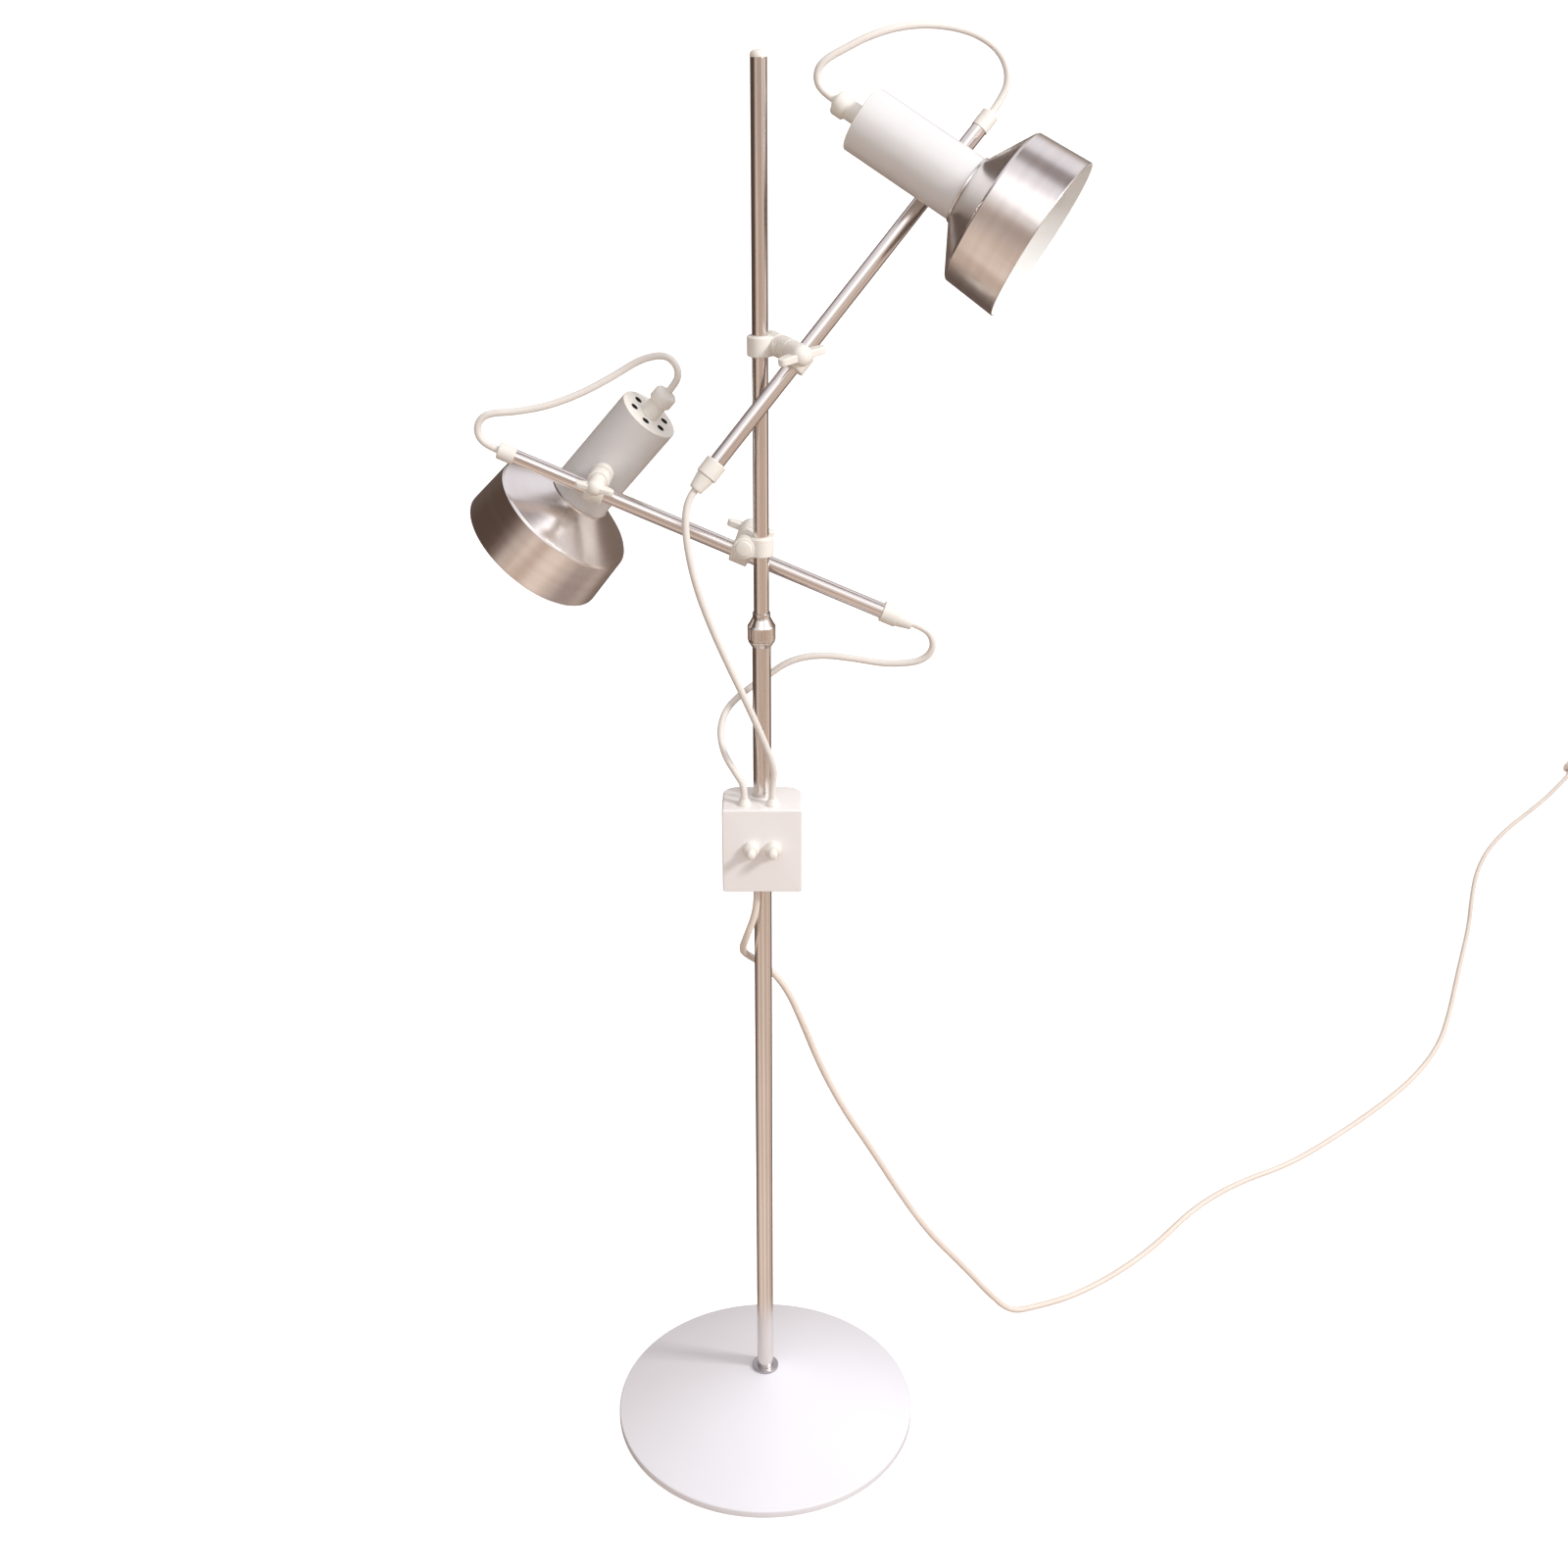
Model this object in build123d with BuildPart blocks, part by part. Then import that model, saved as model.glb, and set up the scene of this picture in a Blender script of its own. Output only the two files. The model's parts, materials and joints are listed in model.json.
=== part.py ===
"""Adjustable arm floor lamp.

A weighted cone base carries a telescopic pole with a two-button switch box.
Two identical lamps ride on the pole.  Each has a pair of split ring clamps on
one bolt, an arm tube that the lamp cord runs through, and a head that tilts on
its own ring clamp.

Frame: millimetres, +Z up, origin at the centre of the base on the floor.
X runs across the lamp and -Y is its front, where the push buttons are.
"""
from build123d import *
from math import cos, pi, radians, sin, tan
import os

os.makedirs("parts", exist_ok=True)

# ---------------------------------------------------------------- driving sizes
CLEAR = 0.05                # radial clearance of every running fit
GAP = 0.3                   # gap between parts that turn face to face

# base
BASE_R = 150.0
BASE_RIM_H = 8.0
BASE_TOP_R = 13.0
BASE_TOP_Z = 55.0
COVER_WALL = 1.5
FELT_H = 1.5
COLLAR_H = 3.0
STUD_R = 5.0
NUT_AF = 17.0               # across flats
NUT_H = 8.0

# pole
LOWER_R = 8.0
UPPER_R = 6.5
UPPER_WALL = 1.2
LOWER_TOP_Z = 852.0
UPPER_BOTTOM_Z = 560.0
UPPER_TOP_Z = 1309.0
CAP_H = 5.0

# height ferrule, from the bottom of its body to the top of its nut
FERRULE_Z = 840.0
FERRULE_FLANGE_H = 6.0
FERRULE_R = 12.0
FERRULE_THREAD_R = 9.8
FERRULE_H = 30.0
KNURLS = 28

# switch box
BOX_W = 70.0
BOX_Z0 = 620.0
BOX_Z1 = 700.0
BOX_FRONT_Y = -32.0
BOX_SPLIT_Y = -9.0
BOX_BACK_Y = 18.0
BOX_WALL = 2.0
BOX_ROUND = 2.0
BOX_BACK_R = 14.0           # rounding of the box's two upright back edges, seen from above
SCREW_X = 16.0
BUTTON_X = 9.5
BUTTON_Z = 663.0
BUTTON_R = 3.75
BUTTON_OUT = 16.0           # button tip in front of the cover
RING_NUT_R = 7.2
RING_NUT_H = 7.0
SWITCH_R = 7.0
SWITCH_DEPTH = 17.0
FEED_EXITS = {"upper": (9.0, -20.0), "lower": (-15.5, -20.0)}
MAINS_EXIT = (-5.0, -18.0)
GROMMET_H = 6.0             # grommet's length outside the box

# ring clamp: a ring round a tube and a boss round the bolt beside it
RING_R = 10.5
RING_H = 16.0
BOLT_OFFSET = 13.5          # bolt axis beside the tube axis
BOSS_R = 9.3
BOSS_W = 20.0               # along the bolt
SLIT = 1.2
LINER_R = 7.5
BOLT_R = 2.5
RING_PITCH = BOSS_W + GAP   # from the pole ring to the arm ring along the bolt
WING_R = 9.0
WING_HUB_H = 24.0
WING_SPAN = 41.0
WING_MID = 16.0             # height of the wings' centre line on the hub

# arm
ARM_R = 6.5
ARM_WALL = 1.2
ARM_LENGTH = 376.0          # over the gland and the end bush
END_BUSH_R = 7.2
END_BUSH_H = 15.0
GLAND_R = 9.0
GLAND_H = 28.0
LEAD_R = 2.0                # bore for the wires in glands and bushes

# head, along its own axis from the tilt pivot; the mouth is at the + end
HEAD_OFFSET = 37.5          # from the arm axis to the head axis
HOUSING_R = 26.5
HOUSING_WALL = 1.4
CAP_Z = -56.0
HOUSING_Z0 = -54.2
HOUSING_Z1 = 44.6
VENT_R = 3.2
VENT_CIRCLE_R = 16.0
GLAND_TIP = 26.0            # cord gland behind the cap
NECK_Z0 = 42.4
SHADE_Z0 = 44.0
SHOULDER_Z = 67.5
SHOULDER_R = 64.3
MOUTH_Z = 112.0
MOUTH_R = 67.0
SHADE_WALL = 1.2

# cords
CORD_R = 3.0
MAINS_R = 3.25
ARC_SHARE = 0.45            # share of the shorter run that a corner's arc takes

# the two lamps: places and angles in the stored pose
LAMPS = {
    "upper": dict(ring_z=1094.0, bolt_yaw=-64.0, arm_rise=46.3, tail=131.0,
                  head_at=173.9, head_roll=-38.4, head_tilt=86.7,
                  wing_turn=10.7, screw_turn=30.0),
    "lower": dict(ring_z=928.5, bolt_yaw=85.0, arm_rise=22.2, tail=157.0,
                  head_at=132.2, head_roll=-7.0, head_tilt=71.7,
                  wing_turn=15.0, screw_turn=-9.0),
}


def save(piece, name):
    """Label a finished piece and write it as its own STEP file."""
    piece.part.label = name
    export_step(piece.part, f"parts/{name}.step")


def tube(plane, outer_r, inner_r, start, end):
    """A plain tube along the plane's normal, from start to end."""
    with BuildPart() as piece:
        with BuildSketch(plane.offset(start)):
            Circle(outer_r)
            if inner_r > 0:
                Circle(inner_r, mode=Mode.SUBTRACT)
        extrude(amount=end - start)
    return piece


def turned(plane, outline):
    """A solid of revolution about the plane's normal from (radius, height) points."""
    profile_plane = Plane(plane.origin, x_dir=plane.x_dir, z_dir=-plane.y_dir)
    with BuildPart() as piece:
        with BuildSketch(profile_plane):
            with BuildLine():
                Polyline(*outline, close=True)
            make_face()
        revolve(axis=Axis(plane.origin, plane.z_dir))
    return piece


# ---------------------------------------------------------------- base
def make_base():
    rim_z0 = 0.5
    drop = COVER_WALL + 0.6     # the cover's wall measured down its slope
    cover = turned(Plane.XY, [
        (BASE_R, rim_z0), (BASE_R, BASE_RIM_H), (BASE_TOP_R, BASE_TOP_Z),
        (STUD_R, BASE_TOP_Z), (STUD_R, BASE_TOP_Z - drop),
        (BASE_TOP_R - 1, BASE_TOP_Z - drop), (BASE_R - COVER_WALL, BASE_RIM_H - 1),
        (BASE_R - COVER_WALL, rim_z0)])
    with BuildPart() as rounded_cover:
        add(cover.part)
        rim = rounded_cover.edges().filter_by(GeomType.CIRCLE).filter_by(
            lambda e: abs(e.radius - BASE_R) < 0.01 and e.center().Z > BASE_RIM_H - 0.5)
        fillet(rim, 2.0)
    save(rounded_cover, "base_cover")

    recess_r = 14.0
    recess_top = FELT_H + 11.0
    weight_r = BASE_R - COVER_WALL - 1
    weight = turned(Plane.XY, [
        (recess_r, FELT_H), (weight_r, FELT_H), (weight_r, BASE_RIM_H - 2),
        (BASE_TOP_R + 2, BASE_TOP_Z - drop - 2), (STUD_R, BASE_TOP_Z - drop - 2),
        (STUD_R, recess_top), (recess_r, recess_top)])
    save(weight, "base_weight")
    save(tube(Plane.XY, weight_r, recess_r + 4, 0, FELT_H), "base_felt")
    save(tube(Plane.XY, BASE_TOP_R, LOWER_R, BASE_TOP_Z, BASE_TOP_Z + COLLAR_H), "base_collar")

    plug_h = 30.0
    stud = turned(Plane.XY, [
        (0, FELT_H + 1), (STUD_R, FELT_H + 1), (STUD_R, BASE_TOP_Z),
        (UPPER_R, BASE_TOP_Z), (UPPER_R, BASE_TOP_Z + plug_h), (0, BASE_TOP_Z + plug_h)])
    save(stud, "base_stud")

    with BuildPart() as nut:
        with BuildSketch(Plane.XY.offset(recess_top - NUT_H)):
            RegularPolygon(NUT_AF / 2, 6, major_radius=False)
        extrude(amount=NUT_H - 1.5)
        with BuildSketch(Plane.XY.offset(recess_top - 1.5)):
            Circle(recess_r - 2)
        extrude(amount=1.5)
        with BuildSketch(Plane.XY):
            Circle(STUD_R)
        extrude(amount=recess_top, mode=Mode.SUBTRACT)
    save(nut, "base_nut")


# ---------------------------------------------------------------- pole
def make_pole():
    bore_r = UPPER_R + CLEAR
    lower = tube(Plane.XY, LOWER_R, bore_r, BASE_TOP_Z, LOWER_TOP_Z)
    save(lower, "pole_lower")

    flange_z = FERRULE_Z + FERRULE_FLANGE_H
    body = turned(Plane.XY, [
        (LOWER_R, FERRULE_Z), (LOWER_R + 0.6, FERRULE_Z), (FERRULE_R - 0.6, flange_z - 1.5),
        (FERRULE_R - 0.6, flange_z), (FERRULE_THREAD_R - 0.1, flange_z),
        (FERRULE_THREAD_R - 0.1, flange_z + 11), (FERRULE_THREAD_R - 1.2, flange_z + 13),
        (bore_r, flange_z + 13), (bore_r, LOWER_TOP_Z), (LOWER_R, LOWER_TOP_Z)])
    with BuildPart() as collet:
        add(body.part)
        with BuildSketch(Plane.XY.offset(LOWER_TOP_Z + 1)):
            with PolarLocations(0, 3):
                Rectangle(3 * FERRULE_R, SLIT)
        extrude(amount=20, mode=Mode.SUBTRACT)
    save(collet, "ferrule_body")

    nut_z = flange_z + 0.2
    top_z = FERRULE_Z + FERRULE_H
    nut = turned(Plane.XY, [
        (FERRULE_THREAD_R, nut_z), (FERRULE_R - 0.5, nut_z), (FERRULE_R, nut_z + 0.5),
        (FERRULE_R, nut_z + 12), (FERRULE_R - 0.6, nut_z + 12.6), (7.6, top_z - 4),
        (7.6, top_z), (UPPER_R + 0.4, top_z), (UPPER_R + 0.4, top_z - 7),
        (FERRULE_THREAD_R, top_z - 10)])
    with BuildPart() as knurled:
        add(nut.part)
        with BuildSketch(Plane.XY.offset(nut_z + 1.5)):
            with PolarLocations(FERRULE_R + 0.1, KNURLS):
                Rectangle(0.9, 0.9, rotation=45)
        extrude(amount=9.5, mode=Mode.SUBTRACT)
    save(knurled, "ferrule_nut")

    save(tube(Plane.XY, UPPER_R, UPPER_R - UPPER_WALL, UPPER_BOTTOM_Z, UPPER_TOP_Z), "pole_upper")
    spigot = 10.0
    cap = turned(Plane.XY, [
        (0, UPPER_TOP_Z - spigot), (UPPER_R - UPPER_WALL, UPPER_TOP_Z - spigot),
        (UPPER_R - UPPER_WALL, UPPER_TOP_Z), (UPPER_R + 0.3, UPPER_TOP_Z),
        (UPPER_R + 0.3, UPPER_TOP_Z + 2), (UPPER_R - 1, UPPER_TOP_Z + CAP_H - 1),
        (UPPER_R - 3.5, UPPER_TOP_Z + CAP_H), (0, UPPER_TOP_Z + CAP_H)])
    save(cap, "pole_cap")


# ---------------------------------------------------------------- switch box
def make_switch_box():
    mid_z = (BOX_Z0 + BOX_Z1) / 2
    height = BOX_Z1 - BOX_Z0
    gland_points = [(x, y, BOX_Z1) for x, y in FEED_EXITS.values()] + [(*MAINS_EXIT, BOX_Z0)]
    hole_r = 4.5

    def box_block(y0, y1, shrink):
        """The box's outline, from y0 back to y1, made smaller all round by shrink."""
        with BuildPart() as block:
            with BuildSketch(Plane((0, y0, mid_z), x_dir=(1, 0, 0), z_dir=(0, 1, 0))):
                RectangleRounded(BOX_W - 2 * shrink, height - 2 * shrink,
                                 max(BOX_ROUND - shrink, 0.5))
            extrude(amount=y1 - y0)
        return block

    front_outside = box_block(BOX_FRONT_Y, BOX_SPLIT_Y, 0)
    front_inside = box_block(BOX_FRONT_Y + BOX_WALL, BOX_SPLIT_Y, BOX_WALL)
    with BuildPart() as cover:
        add(front_outside.part)
        fillet(cover.edges().group_by(Axis.Y)[0], 1.4)
        add(front_inside.part, mode=Mode.SUBTRACT)
        with BuildSketch(Plane.XZ.offset(-BOX_FRONT_Y)):
            with Locations((-BUTTON_X, BUTTON_Z), (BUTTON_X, BUTTON_Z)):
                Circle(SWITCH_R - 1.5)
        extrude(amount=-BOX_WALL - 1, mode=Mode.SUBTRACT)
        for x, y, z in gland_points:
            with BuildSketch(Plane.XY.offset(z - BOX_WALL - 1)):
                with Locations((x, y)):
                    Circle(hole_r)
            extrude(amount=2 * BOX_WALL + 2, mode=Mode.SUBTRACT)
    save(cover, "switch_box_cover")

    def back_block(y0, y1, shrink):
        """The box's back half: upright back edges well rounded, flat edges broken."""
        with BuildPart() as block:
            with BuildSketch(Plane.XY.offset(BOX_Z0 + shrink)) as plan:
                with Locations((0, (y0 + y1) / 2)):
                    Rectangle(BOX_W - 2 * shrink, y1 - y0)
                fillet(plan.vertices().group_by(Axis.Y)[-1], BOX_BACK_R - shrink)
            extrude(amount=height - 2 * shrink)
            for level in (0, -1):
                rim = block.edges().group_by(Axis.Z)[level].filter_by(
                    lambda edge: edge.center().Y > y0 + 0.1)
                fillet(rim, BOX_ROUND - shrink if BOX_ROUND > shrink else 0.5)
        return block

    back_outside = back_block(BOX_SPLIT_Y, BOX_BACK_Y, 0)
    back_inside = back_block(BOX_SPLIT_Y, BOX_BACK_Y - BOX_WALL, BOX_WALL)
    with BuildPart() as housing:
        add(back_outside.part)
        add(back_inside.part, mode=Mode.SUBTRACT)
        with BuildSketch(Plane.XY.offset(BOX_Z0 + BOX_WALL)):
            Circle(LOWER_R + 3.5)
        extrude(amount=height - 2 * BOX_WALL)
        with BuildSketch(Plane.XY.offset(BOX_Z0 - 1)):
            Circle(LOWER_R)
        extrude(amount=height + 2, mode=Mode.SUBTRACT)
        with BuildSketch(Plane.XZ.offset(-BOX_BACK_Y)):
            with Locations((-SCREW_X, mid_z), (SCREW_X, mid_z)):
                Circle(1.8)
        extrude(amount=BOX_WALL + 1, mode=Mode.SUBTRACT)
    save(housing, "switch_box_housing")

    with BuildPart() as screws:
        back = Plane.XZ.offset(-BOX_BACK_Y)
        spots = [(-SCREW_X, mid_z), (SCREW_X, mid_z)]
        with BuildSketch(back):
            with Locations(*spots):
                Circle(3.2)
        extrude(amount=-2.2)
        with BuildSketch(back):
            with Locations(*spots):
                Circle(1.8)
        extrude(amount=14)
        with BuildSketch(back.offset(-2.2)):
            with Locations(*spots):
                Rectangle(0.9, 8)
        extrude(amount=1.0, mode=Mode.SUBTRACT)
    save(screws, "box_screws")

    switch_plane = Plane.XZ.offset(-BOX_FRONT_Y)
    spots = [(-BUTTON_X, BUTTON_Z), (BUTTON_X, BUTTON_Z)]
    outline = [
        (0, -BOX_WALL - SWITCH_DEPTH), (SWITCH_R, -BOX_WALL - SWITCH_DEPTH),
        (SWITCH_R, -BOX_WALL), (SWITCH_R - 1.5, -BOX_WALL), (SWITCH_R - 1.5, 0),
        (RING_NUT_R, 0), (RING_NUT_R, 3), (RING_NUT_R - 0.5, 4.8),
        (RING_NUT_R - 1.5, 6.3), (BUTTON_R + 0.5, RING_NUT_H),
        (BUTTON_R + CLEAR, RING_NUT_H), (BUTTON_R + CLEAR, -8), (0, -8)]
    bodies = [turned(Plane(switch_plane.from_local_coords((x, z, 0)),
                           x_dir=(1, 0, 0), z_dir=(0, -1, 0)), outline) for x, z in spots]
    with BuildPart() as switches:
        for body in bodies:
            add(body.part)
    save(switches, "switch_bodies")

    for side, x in (("left", -BUTTON_X), ("right", BUTTON_X)):
        place = Plane((x, BOX_FRONT_Y, BUTTON_Z), x_dir=(1, 0, 0), z_dir=(0, -1, 0))
        save(turned(place, [
            (0, -3), (BUTTON_R, -3), (BUTTON_R, BUTTON_OUT - 1.6), (BUTTON_R - 0.6, BUTTON_OUT - 0.6),
            (BUTTON_R - 1.8, BUTTON_OUT), (0, BUTTON_OUT)]), f"button_{side}")

    with BuildPart() as block:
        for i in range(3):
            with Locations((-18 + 12 * i, -20, BOX_Z0 + 20)):
                Box(10, 12, 12)
                Cylinder(1.8, 12, rotation=(90, 0, 0), mode=Mode.SUBTRACT)
        with Locations((-6, -14.2, BOX_Z0 + 20)):
            Box(36, 3, 8)
    save(block, "terminal_block")

    outline = [
        (LEAD_R, -BOX_WALL - 2), (hole_r + 1, -BOX_WALL - 2), (hole_r + 1, -BOX_WALL),
        (hole_r, -BOX_WALL), (hole_r, 0), (hole_r + 1.2, 0), (hole_r + 1.2, 1.5),
        (CORD_R + 0.6, GROMMET_H), (LEAD_R, GROMMET_H)]
    pieces = [turned(Plane(place, x_dir=(1, 0, 0), z_dir=(0, 0, 1 if place[2] > mid_z else -1)),
                     outline) for place in gland_points]
    with BuildPart() as grommets:
        for piece in pieces:
            add(piece.part)
    save(grommets, "box_grommets")


# ---------------------------------------------------------------- clamps
def clamp_ring(tube_plane, bore_r):
    """Split ring round the plane's normal, with its bolt boss on the +X side.

    The bolt runs along the plane's Y axis, BOLT_OFFSET from the tube axis.
    """
    bolt_plane = Plane(tube_plane.from_local_coords((BOLT_OFFSET, -BOSS_W / 2, 0)),
                       x_dir=tube_plane.x_dir, z_dir=tube_plane.y_dir)
    with BuildPart() as boss:
        with BuildSketch(bolt_plane):
            Circle(BOSS_R)
        extrude(amount=BOSS_W)
        fillet(boss.edges().filter_by(GeomType.CIRCLE), 1.5)
    with BuildPart() as ring:
        with BuildSketch(tube_plane.offset(-RING_H / 2)):
            Circle(RING_R)
        extrude(amount=RING_H)
        fillet(ring.edges().filter_by(GeomType.CIRCLE), 1.2)
        with BuildSketch(tube_plane.offset(-RING_H / 2 + 0.6)):
            with Locations((BOLT_OFFSET / 2, 0)):
                Rectangle(BOLT_OFFSET, BOSS_W - 1.0)
        extrude(amount=RING_H - 1.2)
        add(boss.part)
        with BuildSketch(tube_plane.offset(-RING_H)):
            Circle(bore_r)
        extrude(amount=2 * RING_H, mode=Mode.SUBTRACT)
        with BuildSketch(bolt_plane.offset(-1)):
            Circle(BOLT_R + CLEAR)
        extrude(amount=BOSS_W + 2, mode=Mode.SUBTRACT)
        with BuildSketch(tube_plane.offset(-RING_H)):
            with Locations((BOLT_OFFSET + 6, 0)):
                Rectangle(2 * BOLT_OFFSET, SLIT)
        extrude(amount=2 * RING_H, mode=Mode.SUBTRACT)
    return ring


def wing_knob(plane, shank_end=0.0, size=1.0):
    """Wing nut standing on the plane, wings along its X axis.

    With a shank_end below zero it is a wing screw whose shank reaches that height;
    otherwise it has a blind bore for the bolt. Size scales the hub and the wings.
    """
    hub_r, hub_h, dome = WING_R * size, WING_HUB_H * size, 8.0 * size
    arc = [(hub_r * 0.95 * cos(a), hub_h - dome + dome * sin(a))
           for a in (radians(15 * i) for i in range(1, 6))]
    hub = turned(plane, [(0, 0), (hub_r, 0), (hub_r * 0.95, hub_h - dome), *arc, (0, hub_h)])
    wing_plane = Plane(plane.origin, x_dir=plane.x_dir, z_dir=-plane.y_dir)
    root_r, tip_r, thickness = 6.5 * size, 4.4 * size, 6.0 * size
    half_span, mid = WING_SPAN * size / 2, WING_MID * size
    with BuildPart() as wings:
        for side in (-1, 1):
            with BuildSketch(wing_plane.offset(-thickness / 2)):
                with Locations((side * 2, mid - 1)):
                    Circle(root_r)
                with Locations((side * (half_span - tip_r), mid + 1)):
                    Circle(tip_r)
                make_hull()
            extrude(amount=thickness)
        fillet(wings.edges().filter_by(GeomType.CIRCLE).filter_by(
            lambda e: abs(e.radius - tip_r) < 0.01), 1.2)
    with BuildPart() as knob:
        add(hub.part)
        add(wings.part)
        if shank_end < 0:
            with BuildSketch(plane):
                Circle(BOLT_R)
            extrude(amount=shank_end)
        else:
            with BuildSketch(plane):
                Circle(BOLT_R + CLEAR)
            extrude(amount=15, mode=Mode.SUBTRACT)
    return knob


# ---------------------------------------------------------------- the lamps
class LampPose:
    """Places and directions of one lamp, worked out from its stored pose."""

    def __init__(self, ring_z, bolt_yaw, arm_rise, tail, head_at, head_roll, head_tilt,
                 wing_turn, screw_turn):
        up = Vector(0, 0, 1)
        yaw, rise = radians(bolt_yaw), radians(arm_rise)
        roll, tilt = radians(head_roll), radians(head_tilt)
        self.bolt_dir = Vector(cos(yaw), sin(yaw), 0)
        self.side_dir = up.cross(self.bolt_dir)          # from the pole to the bolt
        self.arm_dir = self.side_dir * cos(rise) + up * sin(rise)
        below = self.side_dir * sin(rise) - up * cos(rise)
        self.pole_ring = Vector(0, 0, ring_z)
        self.bolt = self.pole_ring + self.side_dir * BOLT_OFFSET
        self.arm_ring = self.bolt + self.bolt_dir * RING_PITCH + below * BOLT_OFFSET
        self.boss_side = below * -1                      # from the arm to the bolt
        self.tail, self.head_at = tail, head_at
        self.tip = ARM_LENGTH - tail
        self.head_normal = self.bolt_dir * cos(roll) + below * sin(roll)   # arm to head
        self.head_side = self.head_normal.cross(self.arm_dir)    # arm to the tilt axis
        self.head_axis = self.arm_dir * cos(tilt) - self.head_side * sin(tilt)
        self.head_ring = self.arm_ring + self.arm_dir * head_at
        self.tilt_axis_at = self.head_ring + self.head_side * BOLT_OFFSET
        self.pivot = self.tilt_axis_at + self.head_normal * HEAD_OFFSET
        wing, screw = radians(wing_turn), radians(screw_turn)
        self.wing_dir = self.side_dir * cos(wing) + up * sin(wing)
        self.screw_wing_dir = self.arm_dir * cos(screw) + self.head_side * sin(screw)

    def arm_plane(self):
        return Plane(self.arm_ring, x_dir=self.boss_side, z_dir=self.arm_dir)


def make_clamps(name, pose):
    pole_plane = Plane(pose.pole_ring, x_dir=pose.side_dir, z_dir=(0, 0, 1))
    arm_plane = pose.arm_plane()
    head_plane = Plane(pose.head_ring, x_dir=pose.head_side, z_dir=pose.arm_dir)
    liner_half = RING_H / 2 + 0.5
    for place, liner in ((pole_plane, "pole_liner"), (arm_plane, "arm_liner")):
        save(tube(place, LINER_R, UPPER_R + CLEAR, -liner_half, liner_half), f"{name}_{liner}")
    save(clamp_ring(pole_plane, LINER_R + CLEAR), f"{name}_pole_ring")
    save(clamp_ring(arm_plane, LINER_R + CLEAR), f"{name}_arm_ring")
    save(clamp_ring(head_plane, ARM_R + CLEAR), f"{name}_head_ring")

    nut_at = RING_PITCH + BOSS_W / 2 + GAP
    bolt_plane = Plane(pose.bolt, x_dir=pose.wing_dir, z_dir=pose.bolt_dir)
    head_z = -BOSS_W / 2
    bolt = turned(bolt_plane, [
        (0, head_z - 1.8), (5.6, head_z - 1.8), (6.6, head_z - 1.3), (7.0, head_z - 0.5),
        (7.0, head_z), (BOLT_R, head_z), (BOLT_R, nut_at + 13), (0, nut_at + 13)])
    save(bolt, f"{name}_clamp_bolt")
    save(wing_knob(bolt_plane.offset(nut_at)), f"{name}_wing_nut")

    screw_plane = Plane(pose.tilt_axis_at - pose.head_normal * (BOSS_W / 2 + GAP),
                        x_dir=pose.screw_wing_dir, z_dir=pose.head_normal * -1)
    shank = BOSS_W / 2 + GAP + HEAD_OFFSET - HOUSING_R + 5.0
    save(wing_knob(screw_plane, -shank, size=0.8), f"{name}_head_screw")


def make_arm(name, pose):
    plane = pose.arm_plane()
    tail_end, tip_end = -pose.tail, pose.tip
    save(tube(plane, ARM_R, ARM_R - ARM_WALL, tail_end + GLAND_H / 2, tip_end - 4), f"{name}_arm_tube")
    bush = turned(plane, [
        (LEAD_R, tip_end - 4), (ARM_R, tip_end - 4), (ARM_R, tip_end - END_BUSH_H),
        (END_BUSH_R, tip_end - END_BUSH_H), (END_BUSH_R, tip_end - 1), (END_BUSH_R - 1, tip_end),
        (LEAD_R, tip_end)])
    save(bush, f"{name}_arm_end_bush")
    half = GLAND_H / 2
    gland = turned(plane, [
        (LEAD_R, tail_end), (5.2, tail_end), (5.8, tail_end + 1), (7.8, tail_end + half - 1.2),
        (7.8, tail_end + half - 0.4), (GLAND_R - 0.6, tail_end + half - 0.4),
        (GLAND_R, tail_end + half + 0.2), (GLAND_R, tail_end + GLAND_H - 0.6),
        (GLAND_R - 0.6, tail_end + GLAND_H), (ARM_R, tail_end + GLAND_H),
        (ARM_R, tail_end + half), (LEAD_R, tail_end + half)])
    save(gland, f"{name}_arm_gland")


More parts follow.
